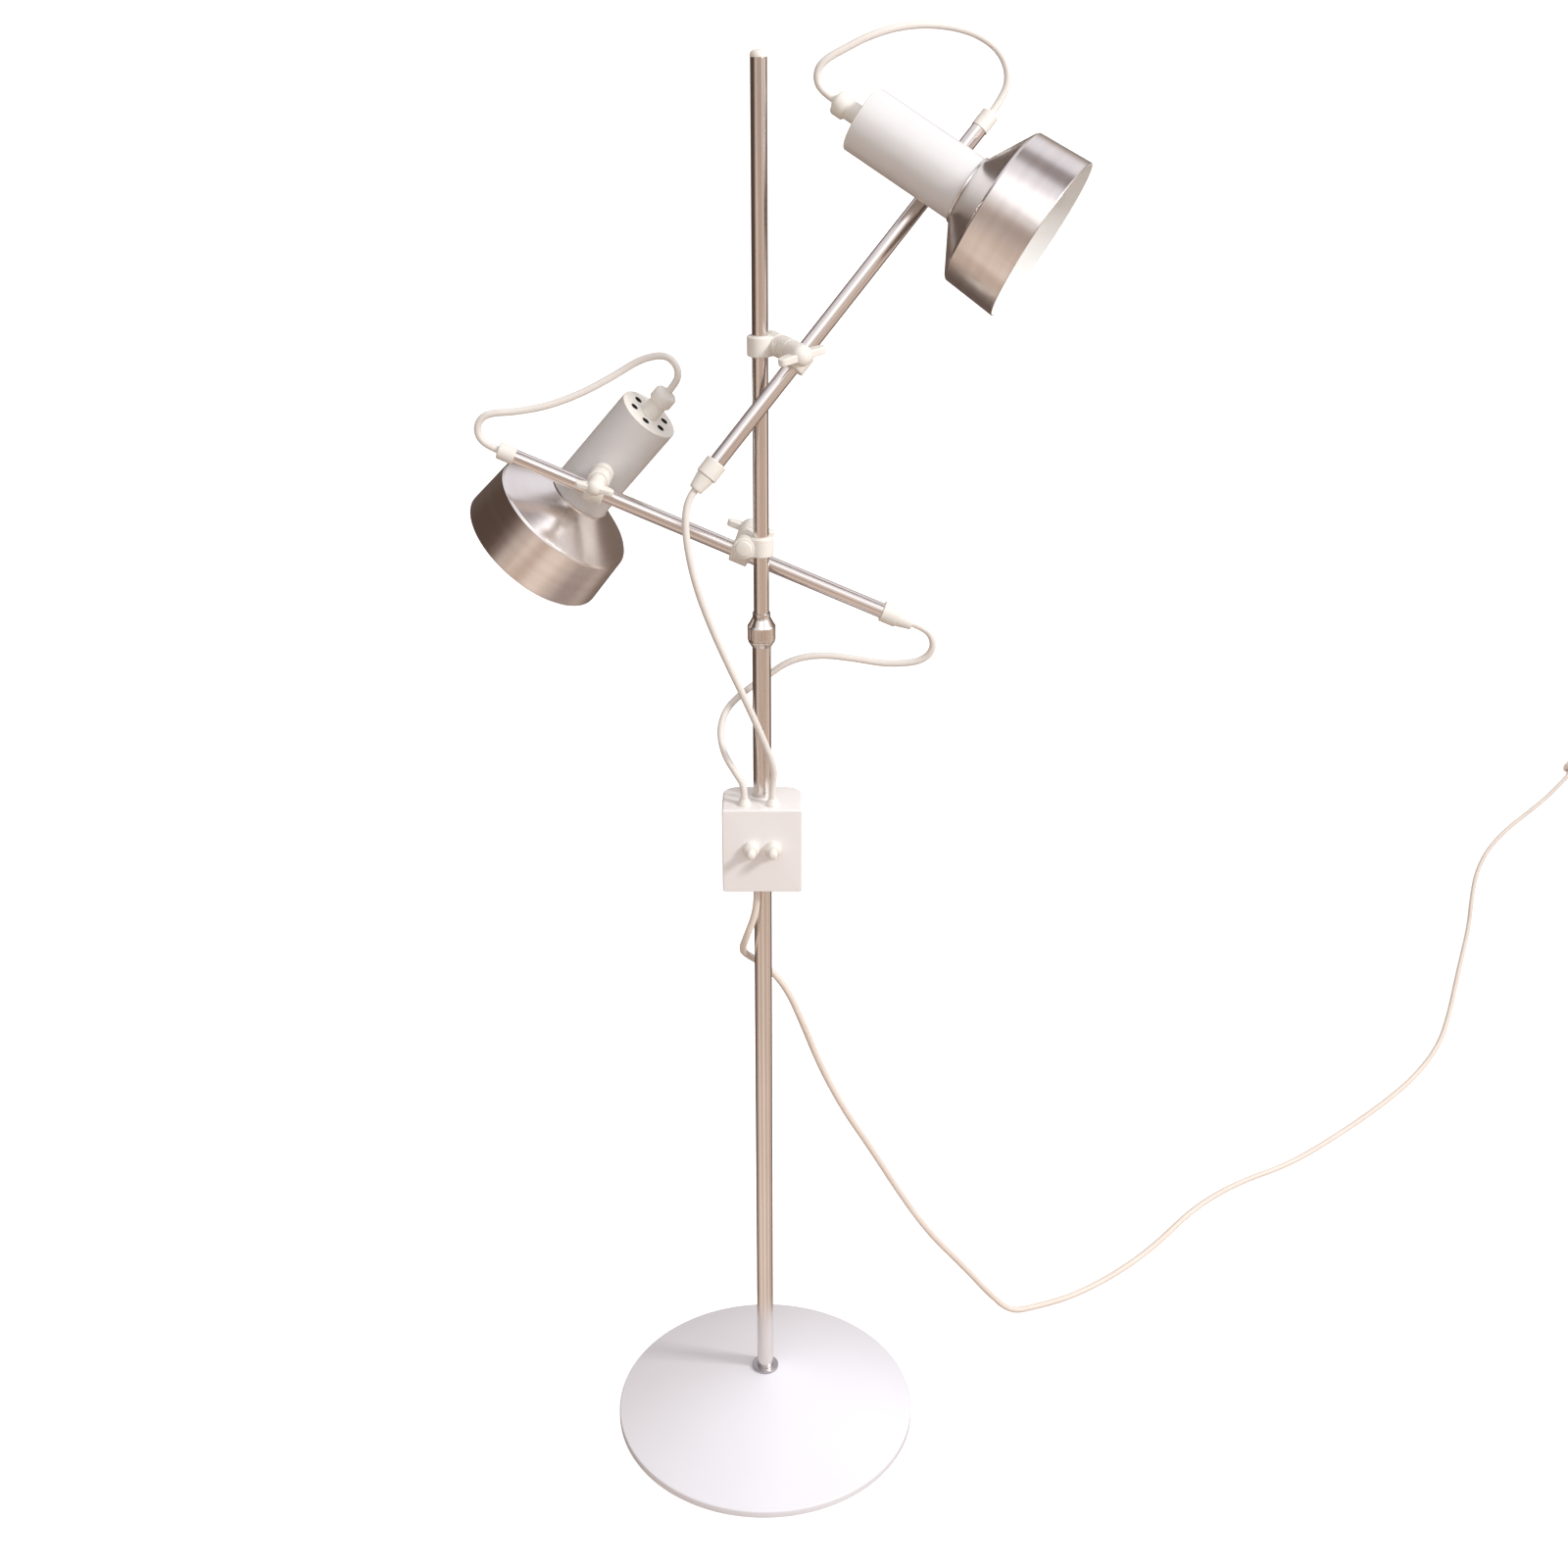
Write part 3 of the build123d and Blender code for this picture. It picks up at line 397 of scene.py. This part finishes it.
def rounded_profile(points, steps=6):
    """The closed (radius, height) outline with each corner that has a third value rounded
    by that radius."""
    result = []
    count = len(points)
    for i, point in enumerate(points):
        corner = Vector(point[:2])
        radius = point[2] if len(point) > 2 else 0.0
        if not radius:
            result.append(tuple(corner))
            continue
        before = Vector(points[i - 1][:2])
        after = Vector(points[(i + 1) % count][:2])
        to_before, to_after = (before - corner), (after - corner)
        half = to_before.angle(to_after) / 2
        reach = min(radius / math.tan(half), 0.49 * to_before.length, 0.49 * to_after.length)
        start = corner + to_before.normalized() * reach
        end = corner + to_after.normalized() * reach
        for k in range(steps + 1):
            t = k / steps
            a = start.lerp(corner, t)
            b = corner.lerp(end, t)
            result.append(tuple(a.lerp(b, t)))
    return result


def lathe(name, profile, segments=128, split=None):
    """Mesh of a closed (radius, height) outline in millimetres turned about Z.

    Faces from outline point split[0] up to split[1] take the second material.
    """
    bm = bmesh.new()
    rings = []
    for radius, height in profile:
        if radius < 1e-6:
            rings.append([bm.verts.new((0, 0, height * MM))])
            continue
        rings.append([
            bm.verts.new((radius * MM * math.cos(a), radius * MM * math.sin(a), height * MM))
            for a in (2 * math.pi * k / segments for k in range(segments))])
    count = len(rings)
    for i in range(count):
        a, b = rings[i], rings[(i + 1) % count]
        if len(a) == 1 and len(b) == 1:
            continue
        for k in range(segments):
            n = (k + 1) % segments
            if len(a) == 1:
                face = bm.faces.new((a[0], b[n], b[k]))
            elif len(b) == 1:
                face = bm.faces.new((a[k], a[n], b[0]))
            else:
                face = bm.faces.new((a[k], a[n], b[n], b[k]))
            if split and split[0] <= i < split[1]:
                face.material_index = 1
    bmesh.ops.recalc_face_normals(bm, faces=bm.faces)
    mesh = bpy.data.meshes.new(name)
    bm.to_mesh(mesh)
    bm.free()
    smooth(mesh, 40)
    return mesh


def placed(origin, axis):
    """Frame at the origin with its Z along the axis."""
    turn = Vector((0, 0, 1)).rotation_difference(Vector(axis)).to_matrix().to_4x4()
    return Matrix.Translation(origin) @ turn


# ---------------------------------------------------------------- CAD nodes that stay
def finish_cad_node(node, material, bevel=True):
    """Give a CAD node its material, welded smooth shading and softly broken edges."""
    piece = frame["nodes"][node]
    mesh = piece.data
    custom = mesh.attributes.get("custom_normal")
    if custom:
        mesh.attributes.remove(custom)
    smooth(mesh, 180)
    weld = piece.modifiers.new("weld", "WELD")
    weld.merge_threshold = WELD_DISTANCE
    if bevel:
        edge = piece.modifiers.new("edges", "BEVEL")
        edge.width = EDGE_WIDTH
        edge.segments = 2
        edge.limit_method = "ANGLE"
        edge.angle_limit = math.radians(40)
        edge.harden_normals = True
    mesh.materials.clear()
    mesh.materials.append(material)


def dress_cad_nodes(paint):
    slots = {part["node"]: part["material_slot"] for part in frame["record"]["subparts"]}
    plain_edges = ("base_felt", "base_weight", "mains_cord")
    box_shells = ("switch_box_housing", "switch_box_cover")
    for node, slot in slots.items():
        lamp = node.split("_")[0]
        material = paint["box_lacquer" if node in box_shells else slot]
        if slot == "nickel" and node.endswith("arm_tube"):
            material = paint[f"{lamp}_arm"]
        finish_cad_node(node, material, bevel=node not in plain_edges)


# ---------------------------------------------------------------- base, shades, bulbs
def make_base_cover(paint):
    """Thin spun cone with a rounded rim, as (radius, height, rounding) in millimetres."""
    profile = rounded_profile([
        (150.0, 0.5, 0.6), (150.0, 8.0, 2.2), (13.0, 55.0), (8.0, 55.0), (8.0, 53.0),
        (12.0, 53.0), (148.5, 7.0), (148.5, 0.5)])
    mesh = lathe("base_cover_spun", profile, 256)
    add_object("base_cover_spun", mesh, paint["lacquer"], "root", "lacquer", "base_cover")


def head_axis(lamp):
    """Pivot and direction of the head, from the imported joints."""
    normal = Vector(joints[f"{lamp}_head_tilt"]["axis"])
    arm = Vector(joints[f"{lamp}_arm_slide"]["axis"])
    side = normal.cross(arm)
    tilt = math.radians(HEAD_TILT[lamp])
    return Vector(joints[f"{lamp}_head_tilt"]["pos_m"]), arm * math.cos(tilt) - side * math.sin(tilt)


def make_head(lamp, paint):
    """Spun shade and bulb. Outlines are (radius, height, rounding) in millimetres, with the
    height along the head axis from the tilt pivot."""
    pivot, axis = head_axis(lamp)
    outer = [(26.5, 42.4), (27.8, 42.4, 0.3), (27.9, 44.2, 0.5), (62.4, 65.0, 0.9),
             (64.15, 66.9, 0.9), (66.9, 110.4, 1.0), (67.0, 112.0, 0.8)]
    inner = [(65.6, 112.0, 0.4), (65.6, 110.4, 1.0), (62.9, 68.2, 2.5), (60.2, 65.2, 2.5),
             (27.6, 45.6, 0.4), (26.5, 45.2)]
    outline = rounded_profile(outer + inner, 5)
    outer_count = len(rounded_profile(outer, 5))
    place = placed(pivot, axis)
    mesh = lathe(f"{lamp}_shade_spun", outline, 192, (outer_count - 2, len(outline) - 1))
    add_object(f"{lamp}_shade_spun", mesh, [paint["spun_aluminium"], paint["shade_white"]],
               f"{lamp}_head", "spun_aluminium", f"{lamp}_shade", place=place)
    globe = [(30.0 * math.cos(math.radians(d)), 72.0 + 30.0 * math.sin(math.radians(d)))
             for d in range(-36, 88, 6)]
    bulb = rounded_profile([(0, 1.0), (6.0, 1.0), (12.8, 4.0, 1.0), (12.8, 29.0), (15.0, 33.0, 3.0),
                            (17.2, 42.0, 12.0), *globe, (0, 102.0)], 5)
    mesh = lathe(f"{lamp}_bulb_glass", bulb, 96)
    add_object(f"{lamp}_bulb_glass", mesh, paint["bulb_glass"], f"{lamp}_head", "bulb_glass",
               f"{lamp}_bulb", place=place)


def darken_inside(lamp, dark):
    """Near-black painted shade on the faces inside a lamp housing, which show through the vents."""
    pivot, axis = head_axis(lamp)
    for node in ("housing", "back_cap"):
        piece = frame["nodes"][f"{lamp}_{node}"]
        piece.data.materials.append(dark)
        for polygon in piece.data.polygons:
            offset = piece.matrix_world @ polygon.center - pivot
            depth = offset.dot(axis)
            if (offset - axis * depth).length < INSIDE_R and depth > CAP_BACK + SKIN:
                polygon.material_index = 1


# ---------------------------------------------------------------- cords
# routes and lengths in millimetres, as in the CAD
FEED_ROUTES = {
    "upper": [(11, -24, 737), (1, -32, 768), (-13, -40, 806), (-29, -46, 845), (-42, -52, 880),
              (-52, -55, 912), (-58, -56, 942), (-60, -54, 966)],
    "lower": [(-22, -18, 728), (-33, -11, 744), (-37, 0, 762), (-31, 11, 778), (-16, 19, 790),
              (4, 23, 803), (24, 23, 818), (50, 21, 824), (80, 19, 821), (104, 16, 817.5),
              (122, 13.5, 818.6), (135.7, 11.5, 821.6), (144, 10.2, 828.5), (147, 9.3, 838),
              (143, 8.7, 848.3)],
}

LOOP_ROUTES = {
    "upper": [(196.5, 72, 1286), (189, 70, 1307), (168, 65, 1321.5), (139, 58.5, 1328),
              (110, 52, 1327.5), (84, 46.5, 1320.5), (64.5, 43, 1311), (51.5, 41.2, 1304.3),
              (44.7, 40.8, 1297), (44.4, 41, 1287)],
    "lower": [(-234.1, 40.8, 1008.3), (-235.9, 41, 1017.4), (-231.6, 41.4, 1025.6),
              (-222.9, 42, 1029.4), (-204, 43, 1030), (-177, 46, 1034), (-149, 50, 1043.5),
              (-122, 54.5, 1057), (-101, 56, 1069.8), (-85.2, 54.5, 1074.4),
              (-76.4, 53, 1073.4), (-69.8, 51.5, 1067.6), (-67.8, 50.7, 1059.2)],
}
MAINS_ROUTE = [
    (-5, -18, 614), (-5, -18, 602),
    (-8, -18, 586), (-15, -17, 566), (-19.5, -4, 546), (-15, 13.5, 530), (2, 20, 516),
    (22, 24, 488), (38, 28, 444), (54, 36, 394), (77, 46, 338), (107, 61, 278), (136, 76, 216),
    (170, 93, 150), (212, 116, 86), (242, 131, 38), (268, 142, 3.5), (300, 152, 3.5),
    (340, 168, 3.5), (392, 204, 3.5), (446, 254, 3.5), (504, 324, 3.5), (566, 374, 3.5),
    (640, 412, 3.5), (712, 470, 3.5), (786, 536, 3.5), (852, 604, 3.5), (908, 682, 3.5),
    (948, 766, 3.5), (982, 846, 3.5), (1016, 924, 3.5), (1052, 1006, 3.5), (1084, 1092, 3.5),
    (1118, 1176, 3.5), (1162, 1258, 3.5), (1220, 1336, 3.5), (1284, 1406, 3.5),
    (1346, 1476, 3.5), (1402, 1550, 3.5)]
FEED_EXITS = {"upper": (9.0, -20.0, 706.0), "lower": (-15.5, -20.0, 706.0)}
FEED_START = 12.0           # straight stretch out of a box grommet
ARM_END = 9.0               # straight stretch out of an arm's end
HEAD_END = 9.0              # straight stretch out of a head's cord gland
ARM_LENGTH = 376.0          # between the two cord exits of an arm
ARM_TAIL = {"upper": 131.0, "lower": 157.0}     # part of it below the arm ring
GLAND_END = 82.0            # from the tilt pivot back to the cord gland's tip


def nurbs(name, points, resolution=12):
    """A curve object whose one spline has the points (millimetres) as control points."""
    curve = bpy.data.curves.new(name, "CURVE")
    curve.dimensions = "3D"
    spline = curve.splines.new("NURBS")
    spline.points.add(len(points) - 1)
    for point, place in zip(spline.points, points):
        point.co = (*(Vector(place) * MM), 1.0)
    spline.order_u = 3
    spline.use_endpoint_u = True
    spline.resolution_u = resolution
    return curve


def line_of(curve):
    """Points that the curve's spline passes through, in order."""
    holder = bpy.data.objects.new("line", curve)
    bpy.context.collection.objects.link(holder)
    bpy.context.view_layer.update()
    evaluated = holder.evaluated_get(bpy.context.evaluated_depsgraph_get())
    mesh = bpy.data.meshes.new_from_object(evaluated)
    points = [v.co.copy() for v in mesh.vertices]
    bpy.data.objects.remove(holder)
    bpy.data.meshes.remove(mesh)
    return points


def length_of(points):
    return sum((b - a).length for a, b in zip(points, points[1:]))


def tube_rings(points, radius, sides=CORD_SIDES):
    """Rings of points round the line, turning with it without twist."""
    rings = []
    across = None
    for i, point in enumerate(points):
        along = (points[min(i + 1, len(points) - 1)] - points[max(i - 1, 0)]).normalized()
        if across is None:
            across = along.orthogonal().normalized()
        across = (across - along * across.dot(along)).normalized()
        other = along.cross(across)
        rings.append([point + (across * math.cos(a) + other * math.sin(a)) * radius
                      for a in (2 * math.pi * k / sides for k in range(sides))])
    return rings


def tube_mesh(name, rings):
    bm = bmesh.new()
    loops = [[bm.verts.new(p) for p in ring] for ring in rings]
    sides = len(rings[0])
    for a, b in zip(loops, loops[1:]):
        for k in range(sides):
            n = (k + 1) % sides
            bm.faces.new((a[k], a[n], b[n], b[k]))
    bm.faces.new(loops[0][::-1])
    bm.faces.new(loops[-1])
    bmesh.ops.recalc_face_normals(bm, faces=bm.faces)
    mesh = bpy.data.meshes.new(name)
    bm.to_mesh(mesh)
    bm.free()
    smooth(mesh, 60)
    return mesh


def lamp_cord(name, route, chain, node, material, slot):
    """A lamp cord cut into one stretch for each joint along the chain."""
    points = line_of(nurbs(name, route))
    rings = tube_rings(points, CORD_R)
    total = length_of(points)
    lengths = [0.0]
    for a, b in zip(points, points[1:]):
        lengths.append(lengths[-1] + (b - a).length)
    cuts = [0]
    for k in range(1, len(chain) - 1):
        wanted = total * k / (len(chain) - 1)
        cuts.append(min(range(len(points)), key=lambda i: abs(lengths[i] - wanted)))
    cuts.append(len(points) - 1)
    for k, (body_a, body_b) in enumerate(zip(chain, chain[1:])):
        first, last = cuts[k], cuts[k + 1]
        mesh = tube_mesh(f"{name}_{k + 1}", rings[first:last + 1])
        piece = add_object(f"{name}_{k + 1}", mesh, material, None, slot, node)
        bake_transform(piece)


def make_lamp_cords(lamp, paint):
    arm = Vector(joints[f"{lamp}_arm_slide"]["axis"])
    arm_ring = Vector(joints[f"{lamp}_arm_roll"]["pos_m"]) / MM
    tail = arm_ring - arm * ARM_TAIL[lamp]
    tip = arm_ring + arm * (ARM_LENGTH - ARM_TAIL[lamp])
    start = Vector(FEED_EXITS[lamp])
    feed = [start, start + Vector((0, 0, FEED_START)), *FEED_ROUTES[lamp],
            tail - arm * ARM_END, tail]
    chain = ["root", "upper_pole"] + [
        f"{lamp}_{b}" for b in ("pole_liner", "clamp", "arm_ring", "arm_liner", "arm")]
    lamp_cord(f"{lamp}_feed", feed, chain, f"{lamp}_feed_cord", paint["cord"], "cord")
    pivot, axis = head_axis(lamp)
    gland = pivot / MM - axis * GLAND_END
    loop = [tip, tip + arm * ARM_END, *LOOP_ROUTES[lamp], gland - axis * HEAD_END, gland]
    chain = [f"{lamp}_{b}" for b in ("arm", "head_ring", "head")]
    lamp_cord(f"{lamp}_loop", loop, chain, f"{lamp}_loop_cord", paint["cord"], "cord")


def make_mains_cord(paint):
    curve = nurbs("mains_lead", MAINS_ROUTE, 16)
    line = line_of(curve)
    curve.bevel_depth = MAINS_R
    curve.bevel_resolution = 6
    curve.use_fill_caps = True
    lead = bpy.data.objects.new("mains_lead", curve)
    bpy.context.collection.objects.link(lead)
    curve.materials.append(paint["mains_pvc"])
    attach(lead, "root")
    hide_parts("mains_cord")


# ---------------------------------------------------------------- the scene
def make_paint():
    paint = {
        "lacquer": lacquer("lavender_lacquer", (0.89, 0.88, 0.93), (0.86, 0.85, 0.90), 0.34),
        "head_lacquer": lacquer("grey_lacquer", (0.80, 0.79, 0.79), (0.74, 0.73, 0.73), 0.36),
        "box_lacquer": lacquer("box_lacquer", (0.95, 0.92, 0.91), (0.92, 0.89, 0.88), 0.32),
        "shade_white": lacquer("shade_white", (0.92, 0.92, 0.91), (0.88, 0.88, 0.87), 0.5),
        "nickel": drawn_tube("pole_nickel", (0, 0, 1), (0.82, 0.78, 0.75), (0.75, 0.71, 0.68), 0.2),
        "dark_chrome": metal("dark_chrome", (0.50, 0.48, 0.50), 0.36),
        "steel": metal("zinc_steel", (0.62, 0.62, 0.63), 0.35),
        "cream_plastic": plastic("cream_plastic", (0.90, 0.87, 0.82), (0.85, 0.81, 0.75)),
        # near-black painted shade for the hollow inside the lamp housings
        "inside_painted_shade": plastic("inside_painted_shade", (0.04, 0.038, 0.045), (0.02, 0.02, 0.025), 0.6),
        "ceramic": plastic("ceramic", (0.90, 0.89, 0.86), (0.85, 0.84, 0.80), 0.25),
        "cord": pvc("lamp_cord_pvc", (0.87, 0.83, 0.79), (0.81, 0.76, 0.71)),
        "mains_pvc": pvc("mains_cord_pvc", (0.88, 0.79, 0.71), (0.82, 0.72, 0.64)),
        "spun_aluminium": spun_metal("spun_aluminium"),
        "iron": iron("cast_iron"),
        "felt": felt("felt"),
        "bulb_glass": opal_glass("opal_glass"),
    }
    for lamp in HEAD_TILT:
        axis = joints[f"{lamp}_arm_slide"]["axis"]
        paint[f"{lamp}_arm"] = drawn_tube(f"{lamp}_arm_nickel", axis, (0.82, 0.78, 0.76),
                                          (0.75, 0.71, 0.69), 0.2)
    return paint


make_camera()
make_studio()
paint = make_paint()
dress_cad_nodes(paint)
make_base_cover(paint)
for lamp in HEAD_TILT:
    make_head(lamp, paint)
    # painted shade inside the housing, behind the vents
    darken_inside(lamp, paint["inside_painted_shade"])
    make_lamp_cords(lamp, paint)
make_mains_cord(paint)
